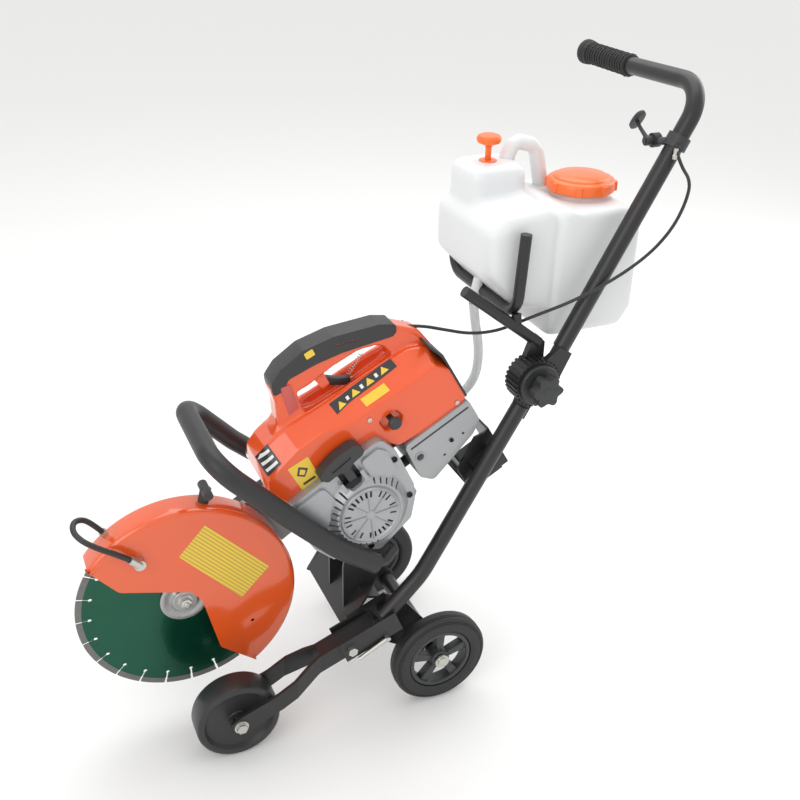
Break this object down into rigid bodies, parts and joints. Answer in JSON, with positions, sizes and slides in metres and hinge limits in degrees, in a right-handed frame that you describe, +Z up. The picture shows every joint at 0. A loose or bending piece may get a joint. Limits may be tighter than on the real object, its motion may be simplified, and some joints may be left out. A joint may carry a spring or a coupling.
{
  "type": "cut-off rescue saw on a wheeled cart",
  "caption": "petrol cut-off saw with a diamond blade and guard, clamped nose down on a three-wheeled cart with a push handle, throttle lever and water tank",
  "frame": {"origin": "on the floor under the middle of the machine's bounding box, hoses left out", "axes": "+Z up, +X from the blade back towards the handlebar, +Y to the machine's right-hand side"},
  "size_m": [1.0152, 0.377, 1.0542],
  "materials": {
    "blade_paint": "satin",
    "diamond": "matte",
    "bare_steel": "satin",
    "zinc": "bright",
    "orange_steel": "gloss",
    "orange_plastic": "gloss",
    "magnesium": "satin",
    "exhaust_steel": "matte",
    "black_paint": "satin",
    "dark_plastic": "matte",
    "grey_plastic": "satin",
    "soft_rubber": "matte",
    "tyre_rubber": "matte",
    "white_plastic": "satin",
    "rope": "matte",
    "porcelain": "gloss"
  },
  "bodies": {
    "machine": {"belt_arm": "magnesium", "bearings": "bare_steel", "crankcase": "magnesium", "cylinder": "magnesium", "spark_plug": "porcelain", "muffler": "exhaust_steel", "carburettor": "magnesium", "drive_cover": "magnesium", "drive_belt": "soft_rubber", "starter_cover": "magnesium", "cover_screws": "zinc", "top_cover": "orange_plastic", "rear_grip": "dark_plastic", "fuel_tank": "magnesium", "vibration_mounts": "soft_rubber", "front_handle": "black_paint", "chassis": "black_paint", "saw_clamps": "black_paint", "cart_bolts": "zinc", "axle": "zinc", "lower_tube": "black_paint", "throttle_cable": "soft_rubber", "water_hose": "soft_rubber", "trigger_spring": "zinc"},
    "blade": {"blade_core": "blade_paint", "blade_segments": "diamond", "blade_flanges": "bare_steel", "blade_bolt": "zinc", "arbor_shaft": "bare_steel", "blade_pulley": "bare_steel"},
    "guard": {"blade_guard": "orange_steel", "guard_handle": "dark_plastic", "guard_fittings": "zinc", "guard_hose": "soft_rubber"},
    "crank": {"crankshaft": "bare_steel", "flywheel": "magnesium"},
    "clutch": {"clutch_pulley": "bare_steel"},
    "starter_reel": {"starter_pulley": "dark_plastic", "starter_rope": "rope"},
    "starter_grip": {"starter_handle": "dark_plastic"},
    "trigger": {"throttle_trigger": "dark_plastic"},
    "choke": {"choke_knob": "dark_plastic"},
    "fuel_lid": {"fuel_cap": "dark_plastic"},
    "left_wheel": {"left_wheel_hub": "grey_plastic", "left_tyre": "tyre_rubber"},
    "right_wheel": {"right_wheel_hub": "grey_plastic", "right_tyre": "tyre_rubber"},
    "fork": {"fork_arm": "black_paint", "front_wheel_bolt": "zinc"},
    "front_roller": {"front_wheel": "dark_plastic"},
    "lock": {"lock_lever": "zinc"},
    "handlebar": {"upper_tube": "black_paint", "handle_grip": "soft_rubber", "lever_clamp": "dark_plastic"},
    "thumb": {"thumb_lever": "dark_plastic"},
    "joint_knob": {"star_knob": "dark_plastic"},
    "tank": {"tank_cradle": "black_paint", "water_tank": "white_plastic"},
    "tank_lid": {"tank_cap": "orange_plastic"},
    "pump": {"pump_plunger": "orange_plastic"}
  },
  "joints": [
    {"name": "blade_spin", "type": "hinge", "parent": "machine", "child": "blade", "pos_m": [-0.33262, -0.02017, 0.24], "axis": [0, 1, 0], "continuous": true},
    {"name": "clutch_spin", "type": "hinge", "parent": "machine", "child": "clutch", "pos_m": [-0.05133, 0.02983, 0.41279], "axis": [0, 1, 0], "continuous": true},
    {"name": "crank_spin", "type": "hinge", "parent": "machine", "child": "crank", "pos_m": [-0.05133, -0.04018, 0.41279], "axis": [0, 1, 0], "continuous": true},
    {"name": "guard_tilt", "type": "hinge", "parent": "machine", "child": "guard", "pos_m": [-0.33262, 0.00483, 0.24], "axis": [0, 1, 0], "range_deg": [-10, 20]},
    {"name": "starter_pull", "type": "slide", "parent": "machine", "child": "starter_grip", "axis": [-0.5, 0, 0.866], "range_m": [0, 0.3], "stiffness_N_per_m": 40, "springref_m": -0.1},
    {"name": "starter_spin", "type": "hinge", "parent": "machine", "child": "starter_reel", "pos_m": [-0.05133, -0.13717, 0.41279], "axis": [0, 1, 0], "continuous": true},
    {"name": "trigger_squeeze", "type": "hinge", "parent": "machine", "child": "trigger", "pos_m": [-0.09614, -0.05318, 0.6144], "axis": [0, -1, 0], "range_deg": [0, 18], "stiffness_Nm_per_rad": 0.2, "springref_deg": -17.19, "deforming": ["trigger_spring"]},
    {"name": "thumb_press", "type": "hinge", "parent": "handlebar", "child": "thumb", "pos_m": [0.41613, -0.10917, 0.956], "axis": [-1, 0, 0], "range_deg": [0, 25], "stiffness_Nm_per_rad": 0.2, "springref_deg": -17.19},
    {"name": "choke_pull", "type": "slide", "parent": "machine", "child": "choke", "axis": [0, -1, 0], "range_m": [0, 0.012]},
    {"name": "fuel_cap_turn", "type": "hinge", "parent": "machine", "child": "fuel_lid", "pos_m": [0.08766, 0.01982, 0.50805], "axis": [0, 1, 0], "continuous": true},
    {"name": "left_wheel_spin", "type": "hinge", "parent": "machine", "child": "left_wheel", "pos_m": [0.07498, -0.15318, 0.087], "axis": [0, 1, 0], "continuous": true},
    {"name": "right_wheel_spin", "type": "hinge", "parent": "machine", "child": "right_wheel", "pos_m": [0.07498, 0.15682, 0.087], "axis": [0, 1, 0], "continuous": true},
    {"name": "fork_fold", "type": "hinge", "parent": "machine", "child": "fork", "pos_m": [-0.08962, -0.13617, 0.16], "axis": [0, -1, 0], "range_deg": [0, 75]},
    {"name": "front_wheel_spin", "type": "hinge", "parent": "fork", "child": "front_roller", "pos_m": [-0.28662, -0.13617, 0.0706], "axis": [0, 1, 0], "continuous": true},
    {"name": "lock_turn", "type": "hinge", "parent": "machine", "child": "lock", "pos_m": [-0.02668, -0.13617, 0.16803], "axis": [0, -1, 0], "range_deg": [0, 60]},
    {"name": "handle_tilt", "type": "hinge", "parent": "machine", "child": "handlebar", "pos_m": [0.23038, -0.14818, 0.596], "axis": [0, 1, 0], "range_deg": [-4, 25], "deforming": ["throttle_cable"]},
    {"name": "tank_tilt", "type": "hinge", "parent": "machine", "child": "tank", "pos_m": [0.23038, -0.12318, 0.596], "axis": [0, 1, 0], "range_deg": [-10, 3], "deforming": ["water_hose"]},
    {"name": "knob_turn", "type": "hinge", "parent": "machine", "child": "joint_knob", "pos_m": [0.23038, -0.17017, 0.596], "axis": [0, 1, 0], "continuous": true},
    {"name": "tank_cap_turn", "type": "hinge", "parent": "tank", "child": "tank_lid", "pos_m": [0.36738, -0.01218, 0.86], "axis": [0, 0, 1], "continuous": true},
    {"name": "pump_slide", "type": "slide", "parent": "tank", "child": "pump", "axis": [0, 0, 1], "range_m": [-0.018, 0.05]}
  ],
  "couplings": [
    {"joint": "clutch_spin", "follows": "blade_spin", "ratio": 1.8333},
    {"joint": "starter_spin", "follows": "starter_pull", "rad_per_m": 34.483},
    {"joint": "trigger_squeeze", "follows": "thumb_press", "ratio": 0.72}
  ]
}
